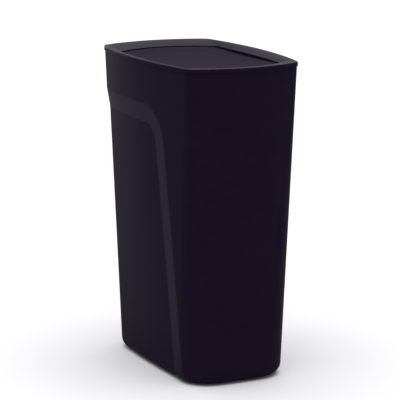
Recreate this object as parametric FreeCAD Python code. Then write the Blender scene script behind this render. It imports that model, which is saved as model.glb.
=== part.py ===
import FreeCAD, Part

import math
import os
from collections import namedtuple

from FreeCAD import Vector

# Slim swing-lid waste bin, millimetres.
# +X is the narrow front end, +Y the left long side, +Z up.
# The origin is on the floor, under the middle of the bin.

# ---- overall sizes ----------------------------------------------------
height = 350.0                # floor to the crest of the lid
lid_half_length = 127.0       # along X
lid_half_width = 78.5         # along Y
lid_side_bow = 16.0           # how far a long side bulges past its ends
lid_end_bow = 24.0            # how far a narrow end bulges past its ends
lid_corner_radius = 14.0
base_half_length = 110.0
base_half_width = 64.0
base_side_bow = 4.0
base_end_bow = 2.0
base_corner_radius = 39.0

# ---- body shell -------------------------------------------------------
body_wall = 2.2
base_edge_radius = 11.0
base_edge_steps = 8           # spans of the round under the base
foot_height = 1.2             # how far the pads stand below the base
recess_depth = 2.6            # step of the lower side panel
recess_drop = 48.0            # from the crest to the bevel above the panel
recess_setback = 71.0         # of its front edge at the top, from the lid's front
recess_foot_setback = 23.5    # of its front edge at the floor, from the base's front
recess_corner_radius = 42.0
bevel_width = 21.0
bevel_steps = 12              # spans of the bevel round its corner
bevel_overrun = 5.0           # how far its cutters run past both edges
ledge_drop = 46.0             # from the crest to the ledges under the bag ring
ledge_inset = 44.0            # of the ledges on the long sides, from the rim's ends
ledge_reach = 7.0
ledge_width = 12.0
ledge_height = 12.0

# ---- foot pads --------------------------------------------------------
pad_radius = 9.0
pad_thickness = 2.2
pad_inset_x = 34.0            # of the pads' middles, from the base's ends
pad_inset_y = 30.0            # and from its sides
pad_clearance = 0.2

# ---- lid frame --------------------------------------------------------
lip_height = 5.1              # outside height of the lid's lip
lip_overhang = 0.9            # how far the lip stands proud of the body
lip_clearance = 0.3           # between the lip and the body's rim
lip_round = 1.6               # outer top edge of the lip
crest_width = 2.4             # from the outside to the start of the slope
lid_wall = 2.2
skirt_depth = 14.0            # how far the skirt reaches into the body
skirt_clearance = 0.8
end_rim_width = 27.0          # of the slope and crest, at the narrow ends
side_rim_width = 15.0         # and along the long sides
throat_side_bow = 5.5
throat_end_bow = 24.0
throat_corner_radius = 13.0
throat_drop = 4.3             # the slope's fall from crest to throat
throat_depth = 14.0           # height of the wall round the throat

# ---- swing flap -------------------------------------------------------
flap_gap = 2.0                # all round, between flap and throat
flap_drop = 1.0               # flap corners below the throat's edge
dish_radius = 1600.0          # of the hollow in the flap's top
flap_wall = 2.0
flap_depth = 15.2             # height of the flap's turned-down edge
tray_thickness = 2.0
tray_clearance = 0.3
tray_inset = 0.3              # underside of the tray above the flap's edge

# ---- flap fixings -----------------------------------------------------
axis_drop = 13.0              # pivot axis below the crest
pin_radius = 2.5
pin_clearance = 0.06          # running fit, on the radius
fixed_clearance = 0.03        # parts pressed together, on the radius
pin_grip = 12.0               # length of pin inside the flap
pin_end_clearance = 1.0
pin_boss_wall = 2.0
bush_wall = 1.6
bush_flange_width = 1.8
bush_flange = 1.1
bush_seat_cut = 0.1           # flat spot for the flange in the bowed wall
lug_wall = 2.3
lug_floor = 2.0               # plastic left behind the bush
screw_inset_x = 38.0          # of the screws, from the flap's ends
screw_inset_y = 29.5          # and from its sides
screw_radius = 1.5
screw_length = 8.0
screw_tip_room = 0.5
screw_head_radius = 3.0
screw_head_height = 1.8
screw_boss_wall = 2.1
tray_hole_clearance = 0.3
weight_radius = 4.0
weight_inset = 11.5           # of the bar's ends, from the flap's sides
weight_drop = 5.0             # bar's axis below the tray
eye_wall = 2.0
eye_width = 6.0
eye_inset = 10.0              # of the outer eyes, from the bar's ends

# ---- bag ring ---------------------------------------------------------
ring_clearance = 1.6          # between ring and body
ring_height = 10.0
ring_wall = 2.4
ring_flange = 6.0             # width of its flat foot
ring_foot = 2.2
ring_lift = 0.3               # clearance over the ledges

# ---- cutting ----------------------------------------------------------
overcut = 1.0                 # how far a cut runs past the face it opens
hair = 0.01                   # tolerance for finding edges by height

# ---- worked out from the sizes above ----------------------------------
body_top = height - lip_height - lip_clearance
lip_bottom = height - lip_height
throat_top = height - throat_drop
throat_bottom = throat_top - throat_depth
flap_top = throat_top - flap_drop
flap_bottom = flap_top - flap_depth
axis_height = height - axis_drop
tray_bottom = flap_bottom + tray_inset
tray_top = tray_bottom + tray_thickness
recess_top = height - recess_drop
recess_front_top = lid_half_length - recess_setback
recess_front_foot = base_half_length - recess_foot_setback
ledge_level = height - ledge_drop
ring_bottom = ledge_level + ring_lift
throat_half_length = lid_half_length - end_rim_width
throat_half_width = lid_half_width - side_rim_width
pad_x = base_half_length - pad_inset_x
pad_y = base_half_width - pad_inset_y
floor_top = foot_height + body_wall
pin_boss_radius = pin_radius + pin_boss_wall
bush_radius = pin_radius + pin_clearance + bush_wall
bush_flange_radius = bush_radius + bush_flange_width
lug_radius = bush_radius + lug_wall
screw_boss_radius = screw_radius + screw_boss_wall
eye_radius = weight_radius + eye_wall
weight_height = tray_bottom - weight_drop

Outline = namedtuple("Outline", "half_length half_width side_radius end_radius corner")


def bowed(half_length, half_width, side_bow, end_bow, corner):
    """Four-sided outline with bulging sides and round corners."""
    side_radius = (half_length ** 2 + side_bow ** 2) / (2 * side_bow)
    end_radius = (half_width ** 2 + end_bow ** 2) / (2 * end_bow)
    return Outline(half_length, half_width, side_radius, end_radius, corner)


def inset(outline, distance):
    """The same outline, moved inward by a distance all round."""
    return Outline(*(size - distance for size in outline))


def corner_centre(outline):
    """Centre of the round corner at +X +Y."""
    side_centre = outline.half_width - outline.side_radius
    end_centre = outline.half_length - outline.end_radius
    from_side = outline.side_radius - outline.corner
    from_end = outline.end_radius - outline.corner
    apart = math.hypot(end_centre, side_centre)
    along = (from_side ** 2 - from_end ** 2 + apart ** 2) / (2 * apart)
    across = math.sqrt(from_side ** 2 - along ** 2)
    unit = Vector(end_centre / apart, -side_centre / apart, 0)
    normal = Vector(-unit.y, unit.x, 0)
    first = Vector(0, side_centre, 0) + unit * along + normal * across
    second = Vector(0, side_centre, 0) + unit * along - normal * across
    return first if first.x > second.x else second


def point_from(centre, toward, radius):
    """Point at a radius from a centre, in the direction of another point."""
    return centre + (toward - centre).normalize() * radius


def quarter_points(outline):
    """Middle of the end, both ends and middle of the corner, middle of the side."""
    side_centre = Vector(0, outline.half_width - outline.side_radius, 0)
    end_centre = Vector(outline.half_length - outline.end_radius, 0, 0)
    corner = corner_centre(outline)
    on_end = point_from(end_centre, corner, outline.end_radius)
    on_side = point_from(side_centre, corner, outline.side_radius)
    outward = (on_end - corner).normalize() + (on_side - corner).normalize()
    on_corner = point_from(corner, corner + outward, outline.corner)
    return on_end, on_corner, on_side


def edges_of(outline, level):
    """Eight tangent arcs round an outline at a height, from the +X end to +Y and on."""
    on_end, on_corner, on_side = quarter_points(outline)
    end_middle = Vector(outline.half_length, 0, 0)
    side_middle = Vector(0, outline.half_width, 0)

    def arc(points, along, across):
        mirror = [Vector(point.x * along, point.y * across, level) for point in points]
        return Part.Arc(*mirror).toShape()

    def flipped(point):
        return Vector(-point.x, point.y, 0)

    def lowered(point):
        return Vector(point.x, -point.y, 0)

    return [arc((on_end, on_corner, on_side), 1, 1),
            arc((on_side, side_middle, flipped(on_side)), 1, 1),
            arc((on_side, on_corner, on_end), -1, 1),
            arc((on_end, end_middle, lowered(on_end)), -1, 1),
            arc((on_end, on_corner, on_side), -1, -1),
            arc((on_side, side_middle, flipped(on_side)), -1, -1),
            arc((on_side, on_corner, on_end), 1, -1),
            arc((on_end, end_middle, lowered(on_end)), 1, -1)]


def prism(outline, low, high):
    """Upright solid with one outline."""
    face = Part.Face(Part.Wire(edges_of(outline, low)))
    return face.extrude(Vector(0, 0, high - low))


def stacked(sections):
    """Solid ruled from each outline to the next, from (outline, height) pairs."""
    rings = [edges_of(outline, level) for outline, level in sections]
    faces = [Part.Face(Part.Wire(rings[0])), Part.Face(Part.Wire(rings[-1]))]
    for low_ring, high_ring in zip(rings, rings[1:]):
        for low_edge, high_edge in zip(low_ring, high_ring):
            faces.append(Part.makeRuledSurface(low_edge, high_edge))
    shell = Part.Shell(faces)
    shell.sewShape()
    solid = Part.Solid(shell)
    if solid.Volume < 0:
        solid.reverse()
    return solid


def tapered(low_outline, low, high_outline, high):
    """Solid ruled between two outlines."""
    return stacked([(low_outline, low), (high_outline, high)])


def upright(radius, x, y, low, high):
    """Upright cylinder."""
    return Part.makeCylinder(radius, high - low, Vector(x, y, low))


def crosswise(radius, x, z, low, high):
    """Cylinder along Y."""
    return Part.makeCylinder(radius, high - low, Vector(x, low, z), Vector(0, 1, 0))


def joined(shapes):
    """One solid from overlapping ones."""
    whole = shapes[0].multiFuse(shapes[1:])
    return whole.removeSplitter()


def save(name, shape):
    """Write one sub-part and say what it holds."""
    shape.exportStep("parts/" + name + ".step")
    print("%-20s %2d solid(s) %9.1f mm3 valid %s"
          % (name, len(shape.Solids), shape.Volume, shape.isValid()))


# ---- outlines ---------------------------------------------------------
lid_outline = bowed(lid_half_length, lid_half_width, lid_side_bow, lid_end_bow, lid_corner_radius)
throat_outline = bowed(throat_half_length, throat_half_width, throat_side_bow, throat_end_bow,
                       throat_corner_radius)
flap_outline = inset(throat_outline, flap_gap)
screw_x = flap_outline.half_length - screw_inset_x
screw_y = flap_outline.half_width - screw_inset_y
weight_end = flap_outline.half_width - weight_inset
eye_places = (eye_inset - weight_end, 0, weight_end - eye_inset)


def body_outline(level):
    """The body's outline at a height: it grows evenly from base to rim."""
    rim = inset(lid_outline, lip_overhang)
    base = bowed(base_half_length, base_half_width, base_side_bow, base_end_bow, base_corner_radius)
    share = level / body_top

    def blend(low, high):
        return low + (high - low) * share

    rim_side_bow = rim.side_radius - math.sqrt(rim.side_radius ** 2 - rim.half_length ** 2)
    rim_end_bow = rim.end_radius - math.sqrt(rim.end_radius ** 2 - rim.half_width ** 2)
    return bowed(blend(base.half_length, rim.half_length),
                 blend(base.half_width, rim.half_width),
                 blend(base_side_bow, rim_side_bow),
                 blend(base_end_bow, rim_end_bow),
                 blend(base.corner, rim.corner))


def half_width_at(outline, x):
    """Distance from the long axis to the outline's side at a station x."""
    corner = corner_centre(outline)
    side_centre = Vector(0, outline.half_width - outline.side_radius, 0)
    on_side = point_from(side_centre, corner, outline.side_radius)
    if abs(x) <= on_side.x:
        return side_centre.y + math.sqrt(outline.side_radius ** 2 - x ** 2)
    return corner.y + math.sqrt(outline.corner ** 2 - (abs(x) - corner.x) ** 2)


# ---- body shell -------------------------------------------------------
def skin(depth, floor, ceiling):
    """The body's form without its recess, its sides moved inward by a depth."""
    radius = base_edge_radius - min(depth, body_wall)
    sections = []
    for step in range(base_edge_steps + 1):
        angle = 0.5 * math.pi * step / base_edge_steps
        level = floor + radius * (1 - math.cos(angle))
        narrowing = depth + radius * (1 - math.sin(angle))
        sections.append((inset(body_outline(level), narrowing), level))
    sections.append((inset(body_outline(ceiling), depth), ceiling))
    return stacked(sections)


def bevel_corner():
    """Side view of the bevel: centre of its corner and lean of its front run."""
    lean = (recess_front_foot - recess_front_top) / recess_top
    tilt = math.atan(lean)
    centre_z = recess_top - recess_corner_radius
    edge_x = recess_front_foot - lean * centre_z
    centre_x = edge_x - recess_corner_radius / math.cos(tilt)
    return Vector(centre_x, 0, centre_z), tilt


def bevel_stations():
    """Pairs of outer and inner bevel points in side view, from the top to below the floor."""
    centre, tilt = bevel_corner()
    stations = []
    for step in range(bevel_steps + 1):
        angle = math.pi / 2 + (tilt - math.pi / 2) * step / bevel_steps
        ray = Vector(math.cos(angle), 0, math.sin(angle))
        inner_radius = recess_corner_radius - bevel_width
        stations.append((centre + ray * recess_corner_radius, centre + ray * inner_radius))
    run = Vector(math.sin(tilt), 0, -math.cos(tilt))
    run_length = (centre.z + recess_corner_radius) / math.cos(tilt)
    outer, inner = stations[-1]
    for share in (0.33, 0.67, 1.0):
        stations.append((outer + run * run_length * share, inner + run * run_length * share))
    return stations


def bevel_cutter(depth, side):
    """Wedge that fades the recess out toward the front of one long side."""
    sections = []
    for outer, inner in bevel_stations():
        outer_y = half_width_at(inset(body_outline(outer.z), depth), outer.x)
        inner_y = half_width_at(inset(body_outline(inner.z), depth + recess_depth), inner.x)
        outer = Vector(outer.x, side * outer_y, outer.z)
        inner = Vector(inner.x, side * inner_y, inner.z)
        spill = (outer - inner) * (bevel_overrun / bevel_width)
        high = outer + spill
        low = inner - spill
        clear_y = side * (lid_half_width + bevel_width)
        corners = [high, low, Vector(low.x, clear_y, low.z), Vector(high.x, clear_y, high.z)]
        sections.append(Part.makePolygon(corners + corners[:1]))
    return Part.makeLoft(sections, True, True)


def block(low, high):
    """Box between two corners."""
    size = high - low
    return Part.makeBox(size.x, size.y, size.z, low)


def panel_cutter():
    """Everything behind and below the bevel, right across the bin."""
    far = 2 * height
    lap = 0.5 * bevel_overrun / bevel_width
    inner = [inner + (inner - outer) * lap for outer, inner in bevel_stations()]
    corners = [Vector(-far, -far, inner[0].z)]
    corners += [Vector(point.x, -far, point.z) for point in inner]
    corners += [Vector(-far, -far, inner[-1].z)]
    side_view = Part.Face(Part.makePolygon(corners + corners[:1]))
    return side_view.extrude(Vector(0, 2 * far, 0))


def top_bevel_cutter(depth):
    """Slope above the recessed panel, along both sides and round the back."""
    far = 2 * height
    centre, tilt = bevel_corner()
    low = recess_top - bevel_width - bevel_overrun
    high = recess_top + bevel_overrun
    spill = recess_depth * bevel_overrun / bevel_width
    slope = tapered(inset(body_outline(low), depth + recess_depth + spill), low,
                    inset(body_outline(high), depth - spill), high)
    return block(Vector(-far, -far, low), Vector(centre.x, far, high)).cut(slope)


def body_form(depth, floor, ceiling):
    """The body with its recess, its sides moved inward by a depth."""
    form = skin(depth, floor, ceiling)
    core = skin(depth + recess_depth, floor, ceiling)
    for cutter in (panel_cutter(), top_bevel_cutter(depth),
                   bevel_cutter(depth, 1), bevel_cutter(depth, -1)):
        form = form.cut(cutter.cut(core))
    return form


def ledges():
    """Gussets on the inside wall that carry the bag ring."""
    level = body_outline(ledge_level)
    reach = ledge_reach + body_wall
    low = ledge_level - ledge_height
    shapes = []
    ledge_x = level.half_length - ledge_inset
    for x in (-ledge_x, ledge_x):
        for side in (-1, 1):
            wall = half_width_at(level, x) - 0.5 * body_wall
            corners = [Vector(x, side * wall, ledge_level),
                       Vector(x, side * (wall - reach), ledge_level),
                       Vector(x, side * (wall - 0.5 * reach), low),
                       Vector(x, side * wall, low)]
            shapes.append(gusset(corners, Vector(ledge_width, 0, 0)))
    for end in (-1, 1):
        wall = level.half_length - 0.5 * body_wall
        corners = [Vector(end * wall, 0, ledge_level),
                   Vector(end * (wall - reach), 0, ledge_level),
                   Vector(end * (wall - 0.5 * reach), 0, low),
                   Vector(end * wall, 0, low)]
        shapes.append(gusset(corners, Vector(0, ledge_width, 0)))
    return shapes


def gusset(corners, width):
    """Flat profile given a width, half to each side."""
    face = Part.Face(Part.makePolygon(corners + corners[:1]))
    face.translate(width * -0.5)
    return face.extrude(width)


def body_shell():
    """Open-topped moulded bin with a stepped side panel and pad pockets."""
    outer = body_form(0, foot_height, body_top)
    inner = body_form(body_wall, floor_top, height)
    shell = outer.cut(inner)
    shell = joined([shell] + [ledge.common(outer) for ledge in ledges()])
    for x in (-pad_x, pad_x):
        for y in (-pad_y, pad_y):
            pocket = upright(pad_radius + pad_clearance, x, y, 0, pad_thickness)
            shell = shell.cut(pocket)
    return shell


# ---- foot pads --------------------------------------------------------
def foot_pads():
    """Four rubber discs under the base."""
    pads = [upright(pad_radius, x, y, 0, pad_thickness)
            for x in (-pad_x, pad_x) for y in (-pad_y, pad_y)]
    return Part.makeCompound(pads)


# ---- lid frame --------------------------------------------------------
def bowl(drop):
    """Space above the lid's inward slope, lowered by a drop."""
    rim = inset(lid_outline, crest_width)
    slope = tapered(throat_outline, throat_top - drop, rim, height - drop)
    return slope.fuse(prism(rim, height - drop, height + overcut))


def pivot_lug(side):
    """Boss between throat wall and skirt that carries one pivot bush."""
    low, high = sorted((side * throat_half_width, side * (skirt_inside() + 0.5 * lid_wall)))
    return crosswise(lug_radius, 0, axis_height, low, high)


def lid_frame():
    """Push-on ring: lip, inward slope, throat wall, skirt and two pivot lugs."""
    rim = inset(lid_outline, crest_width)
    skirt_bottom = lip_bottom - skirt_depth
    skirt = inset(body_outline(skirt_bottom), body_wall + skirt_clearance)
    throat_outside = inset(throat_outline, -lid_wall)
    top = prism(lid_outline, lip_bottom, height)
    round_edges = [edge for edge in top.Edges if edge.BoundBox.ZMin > height - hair]
    lip = top.makeFillet(lip_round, round_edges)
    lip = lip.cut(prism(inset(skirt, lid_wall), lip_bottom - overcut, height + overcut))
    web = bowl(lid_wall).fuse(prism(rim, height - lid_wall, height))
    web = web.cut(bowl(0))
    wall = prism(throat_outside, throat_bottom, throat_top + overcut)
    skirt_wall = prism(skirt, skirt_bottom, height - overcut)
    skirt_wall = skirt_wall.cut(prism(inset(skirt, lid_wall), 0, height))
    frame = joined([lip, web, wall, skirt_wall, pivot_lug(1), pivot_lug(-1)])
    frame = frame.cut(bowl(0))
    frame = frame.cut(prism(throat_outline, 0, height))
    for side in (-1, 1):
        frame = frame.cut(bush_room(side))
    return frame.removeSplitter()


def bush_room(side):
    """Bore and flat seat for one pivot bush."""
    wall = throat_half_width
    bore_end = wall + bush_length()
    low, high = sorted((side * (wall - overcut), side * bore_end))
    bore = crosswise(bush_radius + fixed_clearance, 0, axis_height, low, high)
    low, high = sorted((side * (wall - overcut), side * (wall + bush_seat_cut)))
    seat = crosswise(bush_flange_radius + fixed_clearance, 0, axis_height, low, high)
    return bore.fuse(seat)


def skirt_inside():
    """Distance from the long axis to the inside of the skirt."""
    skirt = body_outline(lip_bottom - skirt_depth)
    return skirt.half_width - body_wall - skirt_clearance - lid_wall


def bush_length():
    """Depth of a bush's bore in its lug."""
    return skirt_inside() - throat_half_width - lug_floor


# ---- pivot bushes and pins --------------------------------------------
def pivot_bush(side):
    """Flanged sleeve that lines one pivot lug."""
    seat = throat_half_width + bush_seat_cut
    end = throat_half_width + bush_length()
    low, high = sorted((side * seat, side * end))
    barrel = crosswise(bush_radius, 0, axis_height, low, high)
    low, high = sorted((side * (seat - bush_flange), side * seat))
    flange = crosswise(bush_flange_radius, 0, axis_height, low, high)
    low, high = sorted((side * (seat - bush_flange), side * end))
    bore = crosswise(pin_radius + pin_clearance, 0, axis_height, low, high)
    return barrel.fuse(flange).removeSplitter().cut(bore)


def pin_span(side):
    """Both ends of one pivot pin along Y."""
    inner = flap_outline.half_width - flap_wall - pin_grip
    outer = throat_half_width + bush_length() - pin_end_clearance
    return sorted((side * inner, side * outer))


def pivot_pin(side):
    """Steel pin from the flap's boss into the bush."""
    low, high = pin_span(side)
    return crosswise(pin_radius, 0, axis_height, low, high)


# ---- swing flap -------------------------------------------------------
def dish(drop):
    """Shallow round hollow over the flap, lowered by a drop."""
    rise = math.sqrt(dish_radius ** 2 - flap_outline.half_length ** 2)
    form = Part.makeSphere(dish_radius, Vector(0, 0, 0), Vector(0, 1, 0))
    form.translate(Vector(0, 0, flap_top + rise - drop))
    return form


def screw_places():
    """Centres of the four flap screws."""
    return [(x, y) for x in (-screw_x, screw_x) for y in (-screw_y, screw_y)]


def flap_cover():
    """Dished panel with a turned-down edge, pin bosses and screw bosses."""
    inside = inset(flap_outline, flap_wall)
    outer = prism(flap_outline, flap_bottom, flap_top)
    hollow = prism(inside, flap_bottom, flap_top).cut(dish(flap_wall))
    cover = outer.cut(hollow)
    bosses = []
    for side in (-1, 1):
        low, high = sorted((side * (inside.half_width - pin_grip),
                            side * (flap_outline.half_width - 0.5 * flap_wall)))
        bosses.append(crosswise(pin_boss_radius, 0, axis_height, low, high))
    for x, y in screw_places():
        bosses.append(upright(screw_boss_radius, x, y, tray_top, flap_top - flap_wall))
    cover = joined([cover] + bosses)
    cover = cover.cut(dish(0))
    for side in (-1, 1):
        low, high = pin_span(side)
        cover = cover.cut(crosswise(pin_radius + fixed_clearance, 0, axis_height, low, high))
    for x, y in screw_places():
        hole_top = tray_bottom + screw_length + screw_tip_room
        hole = upright(screw_radius + fixed_clearance, x, y, flap_bottom, hole_top)
        cover = cover.cut(hole)
    return cover


def flap_tray():
    """Plate that closes the flap from below and carries the weight in three eyes."""
    tray = prism(inset(flap_outline, flap_wall + tray_clearance), tray_bottom, tray_top)
    eyes = []
    for y in eye_places:
        low, high = y - eye_width / 2, y + eye_width / 2
        eyes.append(crosswise(eye_radius, 0, weight_height, low, high))
        eyes.append(block(Vector(-eye_radius, low, weight_height),
                          Vector(eye_radius, high, tray_top)))
    tray = joined([tray] + eyes)
    bar = crosswise(weight_radius + fixed_clearance, 0, weight_height, -weight_end, weight_end)
    tray = tray.cut(bar)
    for x, y in screw_places():
        hole = upright(screw_radius + tray_hole_clearance, x, y,
                       tray_bottom - overcut, tray_top + overcut)
        tray = tray.cut(hole)
    return tray


def counterweight_bar():
    """Steel bar that swings the flap back level."""
    return crosswise(weight_radius, 0, weight_height, -weight_end, weight_end)


def flap_screws():
    """Four screws that hold the tray to the cover."""
    screws = []
    for x, y in screw_places():
        head_bottom = tray_bottom - screw_head_height
        shank = upright(screw_radius, x, y, head_bottom, tray_bottom + screw_length)
        head = upright(screw_head_radius, x, y, head_bottom, tray_bottom)
        screws.append(shank.fuse(head).removeSplitter())
    return Part.makeCompound(screws)


# ---- bag ring ---------------------------------------------------------
def bag_ring():
    """Angle-section ring that traps the bag's top edge, resting on the ledges."""
    outline = inset(body_outline(ring_bottom), body_wall + ring_clearance)
    top = ring_bottom + ring_height
    outer = tapered(outline, ring_bottom,
                    inset(body_outline(top), body_wall + ring_clearance), top)
    inner = tapered(inset(outline, ring_wall), ring_bottom + ring_foot,
                    inset(body_outline(top), body_wall + ring_clearance + ring_wall), top)
    ring = outer.cut(inner)
    return ring.cut(prism(inset(outline, ring_flange), ring_bottom, top))


# ---- build ------------------------------------------------------------
def main():
    os.makedirs("parts", exist_ok=True)
    save("body_shell", body_shell())
    save("foot_pads", foot_pads())
    save("lid_frame", lid_frame())
    save("pivot_bush_left", pivot_bush(1))
    save("pivot_bush_right", pivot_bush(-1))
    save("pivot_pin_left", pivot_pin(1))
    save("pivot_pin_right", pivot_pin(-1))
    save("flap_cover", flap_cover())
    save("flap_tray", flap_tray())
    save("flap_screws", flap_screws())
    save("counterweight_bar", counterweight_bar())
    save("bag_ring", bag_ring())


main()
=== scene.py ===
# %% [markdown]
# # A slim swing-lid bin
#
# The construction is already settled: every piece that carries, fastens or moves comes
# from the packed model, at its real size and in its place. This notebook gives the bin its
# looks. Three mouldings are modelled again as fine, smooth meshes, because they are what
# the eye meets: the body, the rim of the lid and the dished flap. The rest keep their
# shapes and only get materials.

# %% Load the frame
import math

import bmesh
import bpy
from mathutils import Matrix, Vector


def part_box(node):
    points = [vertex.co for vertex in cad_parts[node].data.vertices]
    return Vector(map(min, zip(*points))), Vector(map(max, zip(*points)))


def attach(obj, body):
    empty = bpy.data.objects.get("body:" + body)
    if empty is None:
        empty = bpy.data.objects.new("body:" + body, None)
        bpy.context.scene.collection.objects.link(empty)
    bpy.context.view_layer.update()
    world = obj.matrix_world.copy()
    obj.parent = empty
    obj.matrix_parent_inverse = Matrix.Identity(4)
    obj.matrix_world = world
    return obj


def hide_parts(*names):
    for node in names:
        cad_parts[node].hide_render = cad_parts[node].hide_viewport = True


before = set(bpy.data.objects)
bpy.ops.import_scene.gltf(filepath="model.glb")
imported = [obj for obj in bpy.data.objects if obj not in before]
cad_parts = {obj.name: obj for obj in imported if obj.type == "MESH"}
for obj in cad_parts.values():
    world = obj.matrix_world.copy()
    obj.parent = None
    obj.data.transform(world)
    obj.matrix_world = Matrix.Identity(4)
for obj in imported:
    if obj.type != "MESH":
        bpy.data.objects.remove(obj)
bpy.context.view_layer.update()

# %% [markdown]
# ## The outline that every moulding shares
#
# Seen from above, the bin is a long box whose four sides all bulge a little and whose
# corners are round. Eight arcs that run into each other give that shape: a long arc for
# each side, a tighter one for each narrow end, and a small one for each corner. It could be
# drawn freehand as a curve, but arcs can be moved inward by a wall's thickness and stay
# arcs, so a wall, a lip and a gap all come from one outline. A quarter of it is enough,
# because the other three are mirror images.

# %% The circle that rounds a corner
MM = 0.001


def rounding_centre(side_centre, side_reach, end_centre, end_reach):
    """Outer place at one distance from the side arc's centre and another from the end's."""
    gap = end_centre - side_centre
    apart = gap.length
    along = (side_reach ** 2 - end_reach ** 2 + apart ** 2) / (2 * apart)
    across = math.sqrt(side_reach ** 2 - along ** 2)
    unit = gap / apart
    normal = Vector((-unit.y, unit.x))
    first = side_centre + unit * along + normal * across
    second = side_centre + unit * along - normal * across
    return first if first.x > second.x else second


def direction(centre, place):
    """Angle of the ray from a centre to a place."""
    ray = place - centre
    return math.atan2(ray.y, ray.x)


print("trial: circles of radius 5 round (0, -3) and (0, 3) cross at x = %.0f" %
      rounding_centre(Vector((0, -3)), 5, Vector((0, 3)), 5).x)

# %% An outline made of tangent arcs
END_SHARE = 0.30      # share of a quarter's stations on the narrow end's arc
CORNER_SHARE = 0.25   # and on the corner's arc


class Outline:
    """Four bulging sides and round corners, seen from above."""

    def __init__(self, half_length, half_width, side_radius, end_radius, corner):
        self.half_length = half_length
        self.half_width = half_width
        self.side_radius = side_radius
        self.end_radius = end_radius
        self.corner = corner
        self.side_centre = Vector((0, half_width - side_radius))
        self.end_centre = Vector((half_length - end_radius, 0))
        self.corner_centre = rounding_centre(self.side_centre, side_radius - corner,
                                             self.end_centre, end_radius - corner)
        self.end_angle = direction(self.end_centre, self.corner_centre)
        self.side_angle = direction(self.side_centre, self.corner_centre)

    def at(self, share):
        """Point of the quarter: 0 is the middle of the end, 1 the middle of the side."""
        side_start = END_SHARE + CORNER_SHARE
        if share <= END_SHARE:
            angle = self.end_angle * share / END_SHARE
            centre, radius = self.end_centre, self.end_radius
        elif share <= side_start:
            part = (share - END_SHARE) / CORNER_SHARE
            angle = self.end_angle + (self.side_angle - self.end_angle) * part
            centre, radius = self.corner_centre, self.corner
        else:
            part = (share - side_start) / (1 - side_start)
            angle = self.side_angle + (math.pi / 2 - self.side_angle) * part
            centre, radius = self.side_centre, self.side_radius
        return centre + radius * Vector((math.cos(angle), math.sin(angle)))

    def inset(self, distance):
        """The outline moved inward."""
        return Outline(self.half_length - distance, self.half_width - distance,
                       self.side_radius - distance, self.end_radius - distance,
                       self.corner - distance)


def bowed(half_length, half_width, side_bow, end_bow, corner):
    """Outline from its overall size and how far its sides bulge."""
    side_radius = (half_length ** 2 + side_bow ** 2) / (2 * side_bow)
    end_radius = (half_width ** 2 + end_bow ** 2) / (2 * end_bow)
    return Outline(half_length, half_width, side_radius, end_radius, corner)


base_outline = bowed(110 * MM, 64 * MM, side_bow=4 * MM, end_bow=2 * MM, corner=39 * MM)
print("base %.1f x %.1f mm" % (2000 * base_outline.half_length, 2000 * base_outline.half_width))

# %% Sizes of the three mouldings, from the frame
_, lid_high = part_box("lid_frame")
body_low, body_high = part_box("body_shell")
flap_low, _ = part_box("flap_cover")

HEIGHT = lid_high[2]
BODY_TOP = body_high[2]
BODY_BASE = body_low[2]
LIP_BOTTOM = HEIGHT - 5.1 * MM
LIP_OVERHANG = 0.9 * MM
LONGER = 48.5 * MM    # half the lid's length less half its width
FLAP_GAP = 2 * MM

lid_outline = bowed(lid_high[1] + LONGER, lid_high[1],
                    side_bow=16 * MM, end_bow=24 * MM, corner=14 * MM)
rim_outline = lid_outline.inset(LIP_OVERHANG)
throat_outline = bowed(100 * MM, 63.5 * MM, side_bow=5.5 * MM, end_bow=24 * MM, corner=13 * MM)
flap_outline = throat_outline.inset(FLAP_GAP)
print("body's rim %.1f x %.1f mm, flap %.1f x %.1f mm" % (
    2000 * rim_outline.half_length, 2000 * rim_outline.half_width,
    2000 * flap_outline.half_length, 2000 * flap_outline.half_width))

# %% [markdown]
# ## Building a moulding ring by ring
#
# A moulded wall follows the outline all the way round, at every height. One way would be to
# skin a few curves with a surface tool; here a circle is extruded upward ring by ring, and
# each new ring is fitted to the outline at its height. The faces come from the extrusion,
# so they line up round the bin, and a crease in the real moulding can be given an edge loop
# of its own.

# %% Where the vertices of a ring stand
QUARTER = 60          # stations in a quarter of a plain ring


def even_stations():
    """Quarter and share of the quarter for each vertex of a plain ring."""
    stations = []
    for quarter in range(4):
        for step in range(QUARTER):
            share = step / QUARTER
            stations.append((quarter, share if quarter % 2 == 0 else 1 - share))
    return stations


def mirrored(point, quarter):
    """A point of the first quarter, moved to its mirror image in another."""
    along = 1 if quarter in (0, 3) else -1
    across = 1 if quarter in (0, 1) else -1
    return Vector((point.x * along, point.y * across))


def plain_ring(outline, height):
    """Places of a plain ring on an outline at a height."""
    return [Vector((*mirrored(outline.at(share), quarter), height))
            for quarter, share in even_stations()]


print("a plain ring has %d vertices" % len(plain_ring(base_outline, 0)))

# %% Start, extend and close a stack of rings
def ring_edges(bm, ring):
    """Edges that join the vertices of a ring."""
    count = len(ring)
    return [bm.edges.get((ring[step], ring[(step + 1) % count])) for step in range(count)]


def first_ring(bm, places):
    """A circle whose vertices are moved to the given places."""
    made = bmesh.ops.create_circle(bm, segments=len(places), radius=1, cap_ends=False)
    ring = sorted(made["verts"], key=lambda vert: math.atan2(vert.co.y, vert.co.x) % math.tau)
    for vert, place in zip(ring, places):
        vert.co = place
    return ring


def next_ring(bm, ring, places):
    """Extrude a ring and move the new one to the given places."""
    made = bmesh.ops.extrude_edge_only(bm, edges=ring_edges(bm, ring))
    fresh = {item for item in made["geom"] if isinstance(item, bmesh.types.BMVert)}
    upper = []
    for vert in ring:
        partners = [edge.other_vert(vert) for edge in vert.link_edges]
        upper += [partner for partner in partners if partner in fresh]
    for vert, place in zip(upper, places):
        vert.co = place
    return upper


def cap_ring(bm, ring):
    """Close a ring with one face."""
    bmesh.ops.edgeloop_fill(bm, edges=ring_edges(bm, ring))


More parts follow.
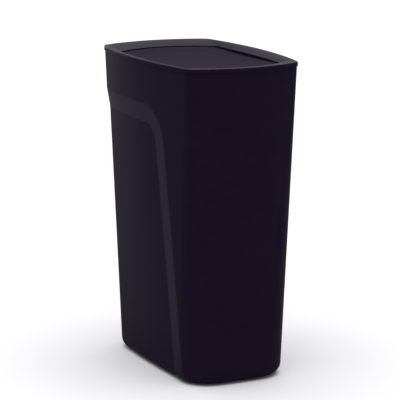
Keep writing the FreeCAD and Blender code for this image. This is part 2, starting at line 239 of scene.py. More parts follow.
trial = bmesh.new()
low_ring = first_ring(trial, plain_ring(base_outline, 0))
cap_ring(trial, next_ring(trial, low_ring, plain_ring(base_outline, 10 * MM)))
print("trial of two rings and a cap: %d faces" % len(trial.faces))
trial.free()

# %% [markdown]
# A finished mesh becomes an object that rides on one moving body and stands for the CAD
# nodes that it hides. It is shaded smooth, but an edge that turns by more than forty degrees
# stays hard, as it would on a real moulding: a lip's underside isn't a soft fold.

# %% From a mesh to a piece
HARD_EDGE = math.radians(40)


def outward(bm):
    """Make every face point outwards."""
    bmesh.ops.recalc_face_normals(bm, faces=bm.faces[:])
    bm.normal_update()


def piece_from(bm, name, body, nodes):
    """Turn a bmesh into a piece that rides on a body and stands for CAD nodes."""
    mesh = bpy.data.meshes.new(name)
    bm.to_mesh(mesh)
    bm.free()
    for polygon in mesh.polygons:
        polygon.use_smooth = True
    mesh.set_sharp_from_angle(angle=HARD_EDGE)
    piece = bpy.data.objects.new(name, mesh)
    bpy.context.collection.objects.link(piece)
    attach(piece, body)
    if nodes:
        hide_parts(*nodes)
    print("%s: %d faces" % (name, len(mesh.polygons)))
    return piece


print("edges past %.0f degrees stay hard" % math.degrees(HARD_EDGE))

# %% [markdown]
# ## The body
#
# The body is one deep injection moulding that narrows toward its base, so that it slips off
# its core and so that bins stack. Its lower side panel steps in by less than three
# millimetres. The step isn't a cliff: a bevel about twenty millimetres wide runs along
# the top of the panel, turns down in a round corner, and leans forward to the floor. The
# same step carries on round the back.
#
# The recess could be carved with a Boolean, but at such a small slope the cut edges would
# be ragged and their shading would smear. Here two edge loops are laid exactly where the
# bevel begins and ends, and the wall between them is pushed in evenly.

# %% The recess, as a depth at each place on the wall
RECESS_DEPTH = 2.6 * MM
RECESS_TOP = HEIGHT - 48 * MM
BEVEL = 21 * MM
FRONT_TOP = 56 * MM       # front edge of the bevel, at the height of RECESS_TOP
FRONT_FOOT = 86.5 * MM    # and at the floor
LEAN = (FRONT_FOOT - FRONT_TOP) / RECESS_TOP
SLANT = math.sqrt(1 + LEAN ** 2)
SOFTNESS = 0.07           # share of the bevel that is rounded at each crease


def front_edge(height, inward):
    """Side view: how far forward the bevel's edge lies, moved inward by a distance."""
    return FRONT_FOOT - LEAN * height - inward * SLANT


def past_front(forward, height):
    """Side view: distance from the bevel's leaning edge, more than 0 in front of it."""
    return (forward - front_edge(height, 0)) / SLANT


def ramp(share):
    """0 to 1 across the bevel, with both creases eased."""
    half = SOFTNESS / 2
    if share <= -half:
        return 0.0
    if share < half:
        return (share + half) ** 2 / (2 * SOFTNESS)
    if share <= 1 - half:
        return share
    if share < 1 + half:
        return 1 - (1 + half - share) ** 2 / (2 * SOFTNESS)
    return 1.0


def recess(offset):
    """Depth of the wall at a distance outside the bevel's outer edge."""
    return RECESS_DEPTH * ramp(-offset / BEVEL)


print("recess %.1f mm deep, bevel %.0f mm wide, half way down it %.1f mm" % (
    RECESS_DEPTH / MM, BEVEL / MM, recess(-BEVEL / 2) / MM))

# %% Places on the tapering wall
def wall_point(share, height, depth):
    """Quarter point of the tapering wall at a height, moved inward by a depth."""
    low = base_outline.inset(depth) if depth else base_outline
    high = rim_outline.inset(depth) if depth else rim_outline
    return low.at(share).lerp(high.at(share), height / BODY_TOP)


def share_at(forward, height):
    """Share of the quarter at which the wall is a given distance forward."""
    low, high = 0.0, 1.0
    for _ in range(24):
        middle = 0.5 * (low + high)
        if wall_point(middle, height, 0).x > forward:
            low = middle
        else:
            high = middle
    return 0.5 * (low + high)


print("the bevel's edge meets the floor at share %.3f" % share_at(FRONT_FOOT, 0))

# %% [markdown]
# The bevel's round corner needs one more idea. The wall's edge loops form a grid, and a grid
# turns at a right angle. Each loop that belongs to the bevel is therefore bent: near the
# corner, its points are slid onto an arc, closer together along the loop but still in
# order. All loops at the same distance from the bevel's edge share one arc centre, so the
# bevel keeps its width as it turns.

# %% Bend the grid round the bevel's corner
RECESS_CORNER = 42 * MM
TILT = math.atan(LEAN)
TURN = math.pi / 2 - TILT                            # how far a loop turns at the corner
DOWN = Vector((math.sin(TILT), -math.cos(TILT)))     # down along the leaning edge
CORNER_REACH = 1.8                                   # of the arc's tangent length


def corner_radius(offset):
    """Radius of the loop at a distance outside the bevel's outer edge."""
    if offset > 0:
        return RECESS_CORNER * max(0.0, 1 - offset / (BODY_TOP - RECESS_TOP))
    return max(0.0, RECESS_CORNER + offset)


def bend(forward, height):
    """Side view: slide a grid point onto the rounded loops of the bevel's corner."""
    across = past_front(forward, height)
    above = height - RECESS_TOP
    offset = max(across, above)
    radius = corner_radius(offset)
    if radius <= 0:
        return forward, height
    tangent = radius * math.tan(TURN / 2)
    top = RECESS_TOP + offset
    corner_x = front_edge(top, -offset)
    reach = min(CORNER_REACH * tangent, corner_x)
    along_top = above >= across
    distance = corner_x - forward if along_top else (top - height) / math.cos(TILT)
    if distance >= reach:
        return forward, height
    straight = reach - tangent
    travel = (reach - distance) / reach * (straight + radius * TURN / 2)
    corner = Vector((corner_x, top))
    if travel < straight:
        step = Vector((-1, 0)) if along_top else DOWN
        return tuple(corner + step * (reach - travel))
    angle = (travel - straight) / radius
    angle = math.pi / 2 - angle if along_top else TILT + angle
    centre = corner + Vector((-1, 0)) * tangent + Vector((0, -1)) * radius
    return tuple(centre + radius * Vector((math.cos(angle), math.sin(angle))))


print("the bevel turns by %.0f degrees on a radius of %.0f mm" % (
    math.degrees(TURN), RECESS_CORNER / MM))

# %% Columns round the body
BEVEL_CUTS = (-0.035, 0.035, 0.12, 0.24, 0.37, 0.5, 0.63, 0.76, 0.88, 0.965, 1.035)
FRONT_STEPS = 34      # columns from the middle of the front to the bevel
PANEL_STEPS = 16      # columns from the bevel to the middle of the side
BACK_STEPS = 44       # columns in a quarter of the back


def body_stations(height):
    """Quarter and share of every column at a height, anticlockwise from the front."""
    edges = [share_at(front_edge(height, BEVEL * cut), height) for cut in BEVEL_CUTS]
    front = [edges[0] * step / FRONT_STEPS for step in range(FRONT_STEPS)]
    panel = [edges[-1] + (1 - edges[-1]) * step / PANEL_STEPS for step in range(1, PANEL_STEPS)]
    shares = front + edges + panel
    back = [step / BACK_STEPS for step in range(BACK_STEPS)]
    stations = [(0, share) for share in shares]
    stations += [(1, 1 - share) for share in back]
    stations += [(2, share) for share in back]
    stations += [(3, 1.0)]
    stations += [(3, share) for share in reversed(shares[1:])]
    return stations


print("%d columns round the body" % len(body_stations(BODY_BASE)))

# %% Rings up the body
BASE_ROUND = 11 * MM
PANEL_ROWS = 52       # rows of faces from the round to the bevel, lowest ones tallest
CROWDING = 1.5        # 1 would make them equally tall
BAND_ROWS = 9         # rows from the bevel to the rim


def body_levels():
    """Heights of the rings above the round under the base, lowest first."""
    bevel = [RECESS_TOP - BEVEL * cut for cut in BEVEL_CUTS]
    low, high = BODY_BASE + BASE_ROUND, bevel[-1]
    lower = []
    for row in range(1, PANEL_ROWS):
        part = row / PANEL_ROWS
        lower.append(low + (high - low) * (1 - (1 - part) ** CROWDING))
    upper = [bevel[0] + (BODY_TOP - bevel[0]) * row / BAND_ROWS
             for row in range(1, BAND_ROWS + 1)]
    return lower + bevel[::-1] + upper


print("%d rings from %.0f to %.0f mm" % (
    len(body_levels()), body_levels()[0] / MM, body_levels()[-1] / MM))

# %% Where each vertex of the body stands
def body_place(station, height):
    """Where one vertex of the wall stands, with the recess pressed in."""
    quarter, share = station
    flat = wall_point(share, height, 0)
    if quarter in (1, 2):
        depth = recess(height - RECESS_TOP)
        return Vector((*mirrored(wall_point(share, height, depth), quarter), height))
    forward, raised = bend(flat.x, height)
    if (forward, raised) != (flat.x, height) and forward > 0:
        share = share_at(forward, raised)
    else:
        raised = height
    depth = recess(max(past_front(flat.x, height), height - RECESS_TOP))
    return Vector((*mirrored(wall_point(share, raised, depth), quarter), raised))


def round_place(station, angle):
    """Where one vertex of the round under the base stands, 0 degrees being its foot."""
    quarter, share = station
    height = BODY_BASE + BASE_ROUND * (1 - math.cos(angle))
    foot = wall_point(share, height, 0)
    offset = past_front(foot.x, height) if quarter in (0, 3) else -BEVEL * 2
    depth = BASE_ROUND * (1 - math.sin(angle)) + recess(offset) * math.sin(angle)
    return Vector((*mirrored(wall_point(share, height, depth), quarter), height))


print("panel's middle, mm:", [round(part / MM, 1) for part in body_place((0, 1.0), HEIGHT / 2)])

# %% [markdown]
# ## Ledges inside the body
#
# Six small gussets inside the wall carry the ring that holds the bag. On the real moulding
# they are part of the shell, thin at the foot so that they leave the mould. They could be
# pulled out of the wall's own faces, but the grid there follows the bevel, not the ledges.
# A cube each, its lower edge drawn back and its outer face sunk in the wall, looks the same.

# %% The ledges' places and shape
BODY_WALL = 2.2 * MM
LEDGE_LEVEL = HEIGHT - 46 * MM
LEDGE_REACH = 7 * MM
LEDGE_WIDTH = 12 * MM
LEDGE_HEIGHT = 12 * MM
LEDGE_FROM_END = 44 * MM
LEDGE_ROOT = BODY_WALL * 0.6      # how deep in the wall a ledge starts
FINE = 400                        # steps of the search for a ledge's place
level_outline = [wall_point(step / FINE, LEDGE_LEVEL, 0) for step in range(FINE + 1)]
ledge_x = level_outline[0].x - LEDGE_FROM_END
ledge_y = min(level_outline, key=lambda point: abs(point.x - ledge_x)).y
LEDGES = [(end * level_outline[0].x, 0, True) for end in (-1, 1)]
LEDGES += [(end * ledge_x, side * ledge_y, False) for end in (-1, 1) for side in (-1, 1)]


def ledge(bm, x, y, along_x):
    """One gusset: a block whose lower edge is drawn back toward the wall."""
    made = bmesh.ops.create_cube(bm, size=1)
    reach = LEDGE_REACH + BODY_WALL - LEDGE_ROOT
    for vert in made["verts"]:
        inward = vert.co.x + 0.5
        sideways = vert.co.y * LEDGE_WIDTH
        low = vert.co.z < 0
        height = LEDGE_LEVEL - (LEDGE_HEIGHT if low else 0)
        pressed = recess(height - RECESS_TOP) if x < 0 else 0
        travel = pressed + LEDGE_ROOT + inward * reach * (0.5 if low else 1)
        if along_x:
            vert.co = (x - math.copysign(travel, x), sideways, height)
        else:
            vert.co = (x + sideways, y - math.copysign(travel, y), height)
    bmesh.ops.recalc_face_normals(bm, faces=list({f for v in made["verts"] for f in v.link_faces}))


print("%d ledges, top at %.0f mm" % (len(LEDGES), LEDGE_LEVEL / MM))

# %% [markdown]
# The bevel catches more light than the panel beside it, and that light is painted into the
# colour as a lighter tone: a painted highlight. The wall's vertices carry it as a number: 1
# on the bevel, 0 elsewhere. It could be painted by hand, but a sum from each vertex's place
# gives the same band with clean edges, and the material reads it as an attribute.

# %% Which places lie on the bevel
CORNER_Z = RECESS_TOP - RECESS_CORNER
CORNER_X = front_edge(CORNER_Z, 0) - RECESS_CORNER / math.cos(TILT)


def on_bevel(place):
    """1 on the bevel and 0 elsewhere, from a place on the wall."""
    if place.x > CORNER_X and place.z > CORNER_Z:
        offset = math.hypot(place.x - CORNER_X, place.z - CORNER_Z) - RECESS_CORNER
    else:
        offset = max(past_front(place.x, place.z), place.z - RECESS_TOP)
    return 1.0 if -BEVEL < offset < 0 else 0.0


print("the bevel's corner is centred %.0f mm forward and %.0f mm up" % (
    CORNER_X / MM, CORNER_Z / MM))

# %% Build the body: wall, floor, thickness, ledges
ROUND_STEPS = 8
FLOOR_SCALES = (0.97, 0.75, 0.5, 0.25)


def body_mesh():
    """The body's outer skin: the round, the wall above it and the floor."""
    bm = bmesh.new()
    columns = body_stations(BODY_BASE + BASE_ROUND)
    floor_ring = ring = first_ring(bm, [round_place(station, 0) for station in columns])
    for step in range(1, ROUND_STEPS + 1):
        angle = 0.5 * math.pi * step / ROUND_STEPS
        ring = next_ring(bm, ring, [round_place(station, angle) for station in columns])
    for height in body_levels():
        places = [body_place(station, height) for station in body_stations(height)]
        ring = next_ring(bm, ring, places)
    inner = [vert.co.copy() for vert in floor_ring]
    ring = floor_ring
    for scale in FLOOR_SCALES:
        ring = next_ring(bm, ring, [Vector((co.x * scale, co.y * scale, co.z)) for co in inner])
    cap_ring(bm, ring)
    outward(bm)
    return bm


bm = body_mesh()
bmesh.ops.solidify(bm, geom=bm.faces[:], thickness=BODY_WALL)
for x, y, along_x in LEDGES:
    ledge(bm, x, y, along_x)
# Mark the bevel's vertices for a painted highlight: the material paints them in a lighter tone.
bevel_highlight = bm.verts.layers.float.new("bevel_highlight")
for vert in bm.verts:
    vert[bevel_highlight] = on_bevel(vert.co)
body = piece_from(bm, "body_moulding", "bin", ["body_shell"])

# %% [markdown]
# ## The rim of the lid
#
# The lid sits on the body with a thin lip that stands less than a millimetre proud. Its
# crest is a tight round, and inside the crest the rim falls away to the throat, so that
# whatever misses the flap slides in. The fall is a little crowned, flattest at the crest.
# The section stays the same all the way round while the outline changes from the wide rim
# to the narrower throat. A profile swept along a curve can't change its outline, but a
# stack of rings can: each ring is one point of the section, taken round.

# %% The throat's wall and the slope above it
THROAT_TOP = HEIGHT - 4.3 * MM
THROAT_BOTTOM = THROAT_TOP - 14 * MM
THROAT_ROUND = 0.8 * MM
CREST = 1.3 * MM
SLOPE_STEPS = 8
SLOPE_CROWN = 1.4     # 1 is a flat slope; more makes it rounder
BROW_DROP = 0.12 * MM


def throat_rings():
    """From the throat's foot up, and over a small round at its top."""
    rings = [plain_ring(throat_outline, THROAT_BOTTOM)]
    for degrees in (0, 22.5, 45, 67.5, 90):
        angle = math.radians(degrees)
        widening = THROAT_ROUND * (1 - math.cos(angle))
        level = THROAT_TOP - THROAT_ROUND * (1 - math.sin(angle))
        rings.append(plain_ring(throat_outline.inset(-widening), level))
    return rings


def slope_rings(foot):
    """From the throat's top, which is the foot of the slope, up to the crest's brow."""
    brow = plain_ring(lid_outline.inset(2 * CREST), HEIGHT - BROW_DROP)
    rings = []
    for step in range(1, SLOPE_STEPS + 1):
        share = step / SLOPE_STEPS
        rise = 1 - (1 - share) ** SLOPE_CROWN
        rings.append([Vector((*low.lerp(high, share).xy, low.z + (high.z - low.z) * rise))
                      for low, high in zip(foot, brow)])
    return rings


print("the rim falls %.1f mm to the throat" % ((HEIGHT - THROAT_TOP) / MM))

# %% The crest, and the lip and skirt below it
CREST_STEPS = 7
CREST_TURN = math.radians(96)
LIP_ROUND = 0.3 * MM
LIP_WALL = 1.2 * MM
LID_WALL = 2.2 * MM
SKIRT_BOTTOM = LIP_BOTTOM - 14 * MM
SKIRT_DEPTH = BODY_WALL + 0.8 * MM    # the body's wall, and a gap inside it


def crest_rings():
    """Over the crest's round, down to the lip's face."""
    rings = []
    for step in range(CREST_STEPS + 1):
        angle = CREST_TURN * (1 - step / CREST_STEPS)
        rings.append(plain_ring(lid_outline.inset(CREST * (1 - math.cos(angle))),
                                HEIGHT - CREST * (1 - math.sin(angle))))
    return rings


def wall_ring(depth, height):
    """Places of a plain ring that follows the body's wall, moved inward by a depth."""
    return [Vector((*mirrored(wall_point(share, SKIRT_BOTTOM, depth), quarter), height))
            for quarter, share in even_stations()]


def under_rings():
    """Under the lip, round the skirt, and back under the slope to the throat's foot."""
    throat_outside = throat_outline.inset(-LID_WALL)
    return [
        plain_ring(lid_outline, LIP_BOTTOM + LIP_ROUND),
        plain_ring(lid_outline.inset(LIP_ROUND), LIP_BOTTOM),
        wall_ring(SKIRT_DEPTH, LIP_BOTTOM),
        wall_ring(SKIRT_DEPTH, SKIRT_BOTTOM),
        wall_ring(SKIRT_DEPTH + LID_WALL, SKIRT_BOTTOM),
        wall_ring(SKIRT_DEPTH + LID_WALL, LIP_BOTTOM + LIP_WALL),
        plain_ring(throat_outside, THROAT_TOP - LID_WALL),
        plain_ring(throat_outside, THROAT_BOTTOM),
    ]


def lid_mesh():
    """The lid's rim, closed into a tube by a bridge from the last ring to the first."""
    bm = bmesh.new()
    up = throat_rings()
    rings = up + slope_rings(up[-1]) + crest_rings() + under_rings()
    first = ring = first_ring(bm, rings[0])
    for places in rings[1:]:
        ring = next_ring(bm, ring, places)
    bmesh.ops.bridge_loops(bm, edges=ring_edges(bm, first) + ring_edges(bm, ring))
    outward(bm)
    return bm


print("the lip is %.1f mm tall, the skirt reaches %.0f mm down" % (
    (HEIGHT - LIP_BOTTOM) / MM, (HEIGHT - SKIRT_BOTTOM) / MM))

# %% [markdown]
# ## Lugs for the flap's bushes
#
# Two round bosses between the throat and the skirt hold the bushes in which the flap turns.
# On the real lid they are moulded in one with it. They stay out of sight, so instead of
# being joined to the wall's faces each is a plain cylinder that ends inside the two walls.

# %% Add the lugs and finish the lid
LUG_RADIUS = 6.4 * MM
LUG_IN_THROAT = 1 * MM
LUG_PAST_BUSH = 2 * MM
RIM_START = THROAT_TOP - 0.5 * MM     # above this, faces that look up are the rim's
LOOKS_UP = 0.3                        # least upward share of such a face's normal
bush_low, bush_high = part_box("pivot_bush_left")
AXIS_HEIGHT = (bush_low[2] + bush_high[2]) / 2


def lug(bm, side, low, high):
    """A stub along Y between the throat and the skirt, at the height of the flap's axis."""
    middle = Vector((0, side * (low + high) / 2, AXIS_HEIGHT))
    turn = Matrix.Translation(middle) @ Matrix.Rotation(math.pi / 2, 4, "X")
    bmesh.ops.create_cone(bm, cap_ends=True, segments=40, radius1=LUG_RADIUS,
                          radius2=LUG_RADIUS, depth=high - low, matrix=turn)


bm = lid_mesh()
for side in (-1, 1):
    lug(bm, side, throat_outline.half_width + LUG_IN_THROAT, bush_high[1] + LUG_PAST_BUSH)
for face in bm.faces:
    centre = face.calc_center_median()
    face.material_index = int(centre.z > RIM_START and face.normal.z > LOOKS_UP)
lid = piece_from(bm, "lid_rim", "lid", ["lid_frame"])

# %% [markdown]
# ## The flap
#
# The flap is a shallow dish, so that a hand finds its middle and rain or spills run to the
# throat. Its edge turns down to stiffen it. A grid pushed down by a sculpting brush would
# do, but the hollow is part of a large sphere, so each ring of the panel is simply set on
# that sphere, and the last few rings turn over a small round into the edge.

# %% The flap's hollow
DISH_RADIUS = 1600 * MM
FLAP_TOP = THROAT_TOP - 1.0 * MM
DISH_EDGE = math.sqrt(DISH_RADIUS ** 2 - flap_outline.half_length ** 2)


def dish_height(x, y):
    """Height of the hollow over a place."""
    return FLAP_TOP + DISH_EDGE - math.sqrt(DISH_RADIUS ** 2 - x ** 2 - y ** 2)


def flap_ring(outline, scale, drop):
    """A ring of the panel, scaled toward the middle and lowered below the hollow."""
    places = []
    for place in plain_ring(outline, 0):
        x, y = place.x * scale, place.y * scale
        places.append(Vector((x, y, dish_height(x, y) - drop)))
    return places


print("the hollow is %.1f mm deep" % ((FLAP_TOP - dish_height(0, 0)) / MM))

# %% Build the flap
FLAP_ROUND = 1.2 * MM
FLAP_WALL = 2.0 * MM
FLAP_EASE = 0.4 * MM
FLAP_BOTTOM = flap_low[2]
DISH_RINGS = (0.05, 0.12, 0.2, 0.3, 0.4, 0.5, 0.6, 0.7, 0.8, 0.88, 0.94, 0.975)


def flap_mesh():
    """The panel from its middle to its edge, then back under itself."""
    bm = bmesh.new()
    edge = flap_outline.inset(FLAP_ROUND)
    ring = first_ring(bm, flap_ring(edge, DISH_RINGS[0], 0))
    cap_ring(bm, ring)
    for scale in DISH_RINGS[1:]:
        ring = next_ring(bm, ring, flap_ring(edge, scale, 0))
    for degrees in (0, 18, 36, 54, 72, 90):
        angle = math.radians(degrees)
        inward = FLAP_ROUND * (1 - math.sin(angle))
        drop = FLAP_ROUND * (1 - math.cos(angle))
        ring = next_ring(bm, ring, flap_ring(flap_outline.inset(inward), 1, drop))
    inside = flap_outline.inset(FLAP_WALL)
    ring = next_ring(bm, ring, plain_ring(flap_outline, FLAP_BOTTOM + FLAP_EASE))
    ring = next_ring(bm, ring, plain_ring(flap_outline.inset(FLAP_EASE), FLAP_BOTTOM))
    ring = next_ring(bm, ring, plain_ring(inside, FLAP_BOTTOM))
    ring = next_ring(bm, ring, flap_ring(inside, 1, 2 * FLAP_WALL))
    for scale in (0.7, 0.35):
        ring = next_ring(bm, ring, flap_ring(inside, scale, FLAP_WALL))
    cap_ring(bm, ring)
    outward(bm)
    return bm


flap = piece_from(flap_mesh(), "flap_panel", "flap", ["flap_cover"])

# %% [markdown]
# ## A small language for shader maths
#
# A material on this bin is mostly arithmetic on noise. Wiring Math nodes by hand hides what
# is being worked out, so one small class wraps a socket and lets ordinary expressions add
# the nodes. Numbers that don't change over the surface stay numbers and are set on the
# shader itself.

# %% Sockets with operators
class Field:
    """A value that changes over a surface."""

    def __init__(self, graph, socket):
        self.graph = graph
        self.socket = socket

    def maths(self, operation, first, second):
        return self.graph.add("ShaderNodeMath", {"operation": operation}, {0: first, 1: second})

    def __add__(self, other):
        return self.maths("ADD", self, other)

    def __radd__(self, other):
        return self.maths("ADD", other, self)

    def __sub__(self, other):
        return self.maths("SUBTRACT", self, other)

    def __rsub__(self, other):
        return self.maths("SUBTRACT", other, self)

    def __mul__(self, other):
        return self.maths("MULTIPLY", self, other)

    def __rmul__(self, other):
        return self.maths("MULTIPLY", other, self)

    def clipped(self):
        return self.graph.add("ShaderNodeClamp", {}, {"Value": self})


print("reflected operators:", [name for name in vars(Field) if name.startswith("__r")])

# %% The nodes of one material
class Graph:
    """Adds nodes to a new material, and gives the material when it is finished."""

    def __init__(self, name):
        self.material = bpy.data.materials.new(name)
        self.material.use_nodes = True
        self.tree = self.material.node_tree
        self.shader = self.tree.nodes["Principled BSDF"]
        self.where = self.add("ShaderNodeTexCoord", {}, {}, "Object")

    def add(self, kind, settings, inputs, output=0):
        """Add a node: its settings first, then the values or links of its sockets."""
        node = self.tree.nodes.new(kind)
        for key, value in settings.items():
            setattr(node, key, value)
        for key, value in inputs.items():
            self.feed(node.inputs[key], value)
        return Field(self, node.outputs[output])

    def feed(self, socket, value):
        """Link a field to a socket, or set the socket to a constant."""
        if isinstance(value, Field):
            self.tree.links.new(value.socket, socket)
        else:
            socket.default_value = value

    def noise(self, size, detail=2.0, stretch=(1, 1, 1)):
        """Noise between 0 and 1 whose blobs are about a size across, in metres."""
        place = self.add("ShaderNodeMapping", {}, {"Vector": self.where, "Scale": stretch})
        return self.add("ShaderNodeTexNoise", {},
                        {"Vector": place, "Scale": 1 / size, "Detail": detail})

    def height(self):
        """Height above the floor, in metres."""
        return self.add("ShaderNodeSeparateXYZ", {}, {"Vector": self.where}, "Z")

    def blend(self, share, first, second):
        """Mix two colours."""
        return self.add("ShaderNodeMix", {"data_type": "RGBA"},
                        {"Factor": share, 6: first, 7: second}, 2)

    def bump(self, relief, depth, strength):
        """Normal of a relief, its depth in metres."""
        return self.add("ShaderNodeBump", {},
                        {"Height": relief, "Distance": depth, "Strength": strength})

    def finish(self, **values):
        """Set or link the shader's sockets and give the material."""
        for key, value in values.items():
            self.feed(self.shader.inputs[key.replace("_", " ")], value)
        print("%s: %d nodes" % (self.material.name, len(self.tree.nodes)))
        return self.material


def dress(piece, *materials):
    """Give a piece its materials, over the ones that its slots already hold."""
    slots = piece.data.materials
    for index, material in enumerate(materials):
        if index < len(slots):
            slots[index] = material
        else:
            slots.append(material)


print("materials so far:", len(bpy.data.materials))

# %% [markdown]
# ## Black moulded plastic
#
# The bin is polypropylene in a black that leans a little to violet. The tool's steel was
# spark-eroded, so the surface has a fine, even grain and a soft sheen. Handling leaves
# broad patches where the grain is slightly more polished, and dust settles toward the foot.
# The colour alone would look like paint; most of what tells plastic from paint is the
# roughness that wanders and the grain that breaks up the highlights.

# %% Moulded plastic
# Lighter colour of the painted highlight on the body's bevel, standing in for the light it
# catches.
BEVEL_HIGHLIGHT_COLOUR = (0.0190, 0.0138, 0.0245)
PLASTIC_IOR = 1.49


def moulded_plastic(name, dark, pale, rough, grain, sheen=0.01):
    """Satin moulded plastic with grain, wandering polish, a little dust low down and a painted
    highlight on the bevel.
    """
    graph = Graph(name)
    patches = graph.noise(60 * MM, 3)
    clouds = graph.noise(9 * MM, 4)
    pits = graph.noise(0.9 * MM, 2)
    dust = (1 - graph.height() * 22).clipped() * graph.noise(5 * MM, 5)
    share = (patches * 0.6 + clouds * 0.4 + dust * 0.5).clipped()
    colour = graph.blend(share, (*dark, 1), (*pale, 1))
    # Painted highlight: where the wall marks the bevel, its colour is painted lighter, for the
    # light the bevel catches.
    bevel_highlight = graph.add("ShaderNodeAttribute", {"attribute_name": "bevel_highlight"}, {}, "Fac")
    colour = graph.blend(bevel_highlight * (0.75 + clouds * 0.4), colour, (*BEVEL_HIGHLIGHT_COLOUR, 1))
    polish = rough + (patches - 0.5) * 0.10 + (clouds - 0.5) * 0.06 + dust * 0.08
    relief = pits * 0.7 + clouds * 0.3
    return graph.finish(Base_Color=colour, Roughness=polish, IOR=PLASTIC_IOR,
                        Specular_IOR_Level=sheen, Normal=graph.bump(relief, 0.05 * MM, grain))


BLACK = ((0.0076, 0.0038, 0.0122), (0.0140, 0.0080, 0.0195))
GREY = ((0.030, 0.030, 0.034), (0.048, 0.048, 0.052))
DARK_GREY = ((0.010, 0.010, 0.011), (0.018, 0.018, 0.019))
black = moulded_plastic("black_plastic", *BLACK, rough=0.50, grain=0.25)
rim_black = moulded_plastic("rim_plastic", *BLACK, rough=0.35, grain=0.20, sheen=0.18)
flap_black = moulded_plastic("flap_plastic", *BLACK, rough=0.50, grain=0.25, sheen=0.03)
liner = moulded_plastic("ring_plastic", *GREY, rough=0.5, grain=0.3)
acetal = moulded_plastic("bush_plastic", *DARK_GREY, rough=0.42, grain=0.1)

# %% Dress the mouldings
dress(body, black)
dress(lid, black, rim_black)
dress(flap, flap_black)
dress(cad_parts["flap_tray"], black)
dress(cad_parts["bag_ring"], liner)
for name in ("pivot_bush_left", "pivot_bush_right"):
    dress(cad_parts[name], acetal)
print("rim faces in their own finish:", sum(
    polygon.material_index for polygon in lid.data.polygons))

# %% [markdown]
# ## Steel and rubber
#
# The pins, screws and balance bar are zinc-plated steel: cloudy, with fine turning marks
# across their length. The pads are soft rubber with a dull, dusty skin. A plain metal or a
# plain grey would do for such small parts, but the same few nodes of noise that serve the
# plastic keep them from looking like paint.

# %% Zinc-plated steel and rubber
def plated_steel():
    """Cloudy zinc with fine marks round each turned part."""
    graph = Graph("plated_steel")
    clouds = graph.noise(3 * MM, 4)
    marks = graph.noise(0.25 * MM, 1, (0.05, 1, 0.05))
    colour = graph.blend(clouds, (0.50, 0.50, 0.49, 1), (0.66, 0.66, 0.63, 1))
    return graph.finish(Base_Color=colour, Metallic=1.0, Roughness=0.26 + clouds * 0.16,
                        Normal=graph.bump(marks, 0.02 * MM, 0.3))


def pad_rubber():
    """Dull rubber with a dusty skin."""
    graph = Graph("pad_rubber")
    clouds = graph.noise(4 * MM, 4)
    pits = graph.noise(0.4 * MM, 2)
    colour = graph.blend(clouds, (0.016, 0.016, 0.016, 1), (0.035, 0.034, 0.033, 1))
    return graph.finish(Base_Color=colour, Roughness=0.72 + clouds * 0.2,
                        Normal=graph.bump(pits, 0.05 * MM, 0.4))


steel = plated_steel()
for name in ("pivot_pin_left", "pivot_pin_right", "flap_screws", "counterweight_bar"):
    dress(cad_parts[name], steel)
dress(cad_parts["foot_pads"], pad_rubber())

# %% [markdown]
# ## Floor
#
# The floor is plain and pale, like the sweep of paper in a product studio. A plane would
# do, but a plane's corners can show against the background. A wide disc ends evenly, and a
# very slow change of tone keeps it from being a flat white.

# %% Floor
FLOOR_RADIUS = 14     # metres


def pale_floor():
    """A disc of pale paper under the bin."""
    bm = bmesh.new()
    bmesh.ops.create_circle(bm, segments=96, radius=FLOOR_RADIUS, cap_ends=True)
    mesh = bpy.data.meshes.new("floor")
    bm.to_mesh(mesh)
    bm.free()
    floor = bpy.data.objects.new("floor", mesh)
    bpy.context.collection.objects.link(floor)
    graph = Graph("floor_paint")
    tone = graph.noise(0.8, 2)
    colour = graph.blend(tone, (0.80, 0.80, 0.81, 1), (0.84, 0.84, 0.85, 1))
    dress(floor, graph.finish(Base_Color=colour, Roughness=0.9, Specular_IOR_Level=0.1))


pale_floor()

# %% [markdown]
# ## Light
#
# Black plastic shows little of its own colour: it shows what it mirrors. Most of the light
# here is a broad, soft source overhead, as from a room-sized diffuser, so the top of the lid
# is the brightest part and the upright faces are lit only by the pale floor. One weak soft
# box behind the bin draws its far edge. More lamps would look like a room's windows.

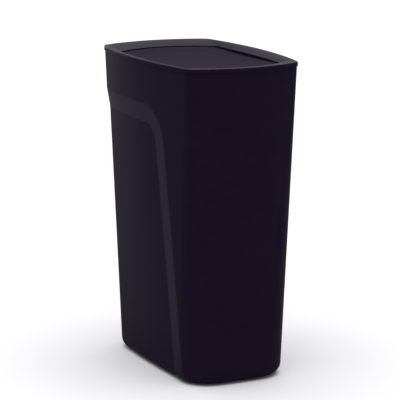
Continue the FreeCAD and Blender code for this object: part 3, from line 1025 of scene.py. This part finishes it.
# %% Lights
def add_light(name, kind, place, watts):
    """A light that shines straight down until it is turned."""
    data = bpy.data.lights.new(name, kind)
    data.energy = watts
    light = bpy.data.objects.new(name, data)
    light.location = place
    bpy.context.collection.objects.link(light)
    return light


def soft_box(name, place, aim, size, watts):
    """A square soft box that faces a point."""
    light = add_light(name, "AREA", place, watts)
    light.data.shape = "SQUARE"
    light.data.size = size
    turn = (Vector(aim) - Vector(place)).to_track_quat("-Z", "Y")
    light.rotation_euler = turn.to_euler()


world = bpy.data.worlds.new("studio")
world.use_nodes = True
backdrop = world.node_tree.nodes["Background"]
backdrop.inputs["Color"].default_value = (0.95, 0.93, 1.0, 1)
backdrop.inputs["Strength"].default_value = 0.45
bpy.context.scene.world = world
ceiling = add_light("ceiling", "SUN", (0, 0, 3), 2.9)
ceiling.data.angle = math.radians(70)
soft_box("edge", (-3.0, -0.15, 0.35), (0, 0, HEIGHT * 0.5), size=0.4, watts=4)
bpy.context.scene.view_settings.view_transform = "Standard"
print("lights:", [light.name for light in bpy.data.lights])

# %% [markdown]
# ## Camera
#
# The view is three-quarter, a little above the rim, so that the narrow front, the long side
# and the dished top all show. A wide lens close up would splay the upright edges. A long
# lens from a couple of metres keeps them nearly parallel.

# %% Camera
AZIMUTH = math.radians(63.98)
ELEVATION = math.radians(11.95)
DISTANCE = 6.4975 * HEIGHT
target = Vector((0, 0, HEIGHT / 2))
toward = Vector((math.sin(AZIMUTH) * math.cos(ELEVATION),
                 -math.cos(AZIMUTH) * math.cos(ELEVATION),
                 math.sin(ELEVATION)))
camera_data = bpy.data.cameras.new("camera")
camera_data.sensor_width = 36
camera_data.lens = 182.45
camera_data.shift_x = 0.0044
camera_data.shift_y = 0.0200
camera_data.clip_end = 100
camera = bpy.data.objects.new("camera", camera_data)
camera.location = target + toward * DISTANCE
camera.rotation_euler = toward.to_track_quat("Z", "Y").to_euler()
bpy.context.collection.objects.link(camera)
bpy.context.scene.camera = camera
print("camera %.2f m away with a %.0f mm lens" % (DISTANCE, camera_data.lens))

# %% [markdown]
# ## Sizes
#
# The looks must not change what the bin measures.
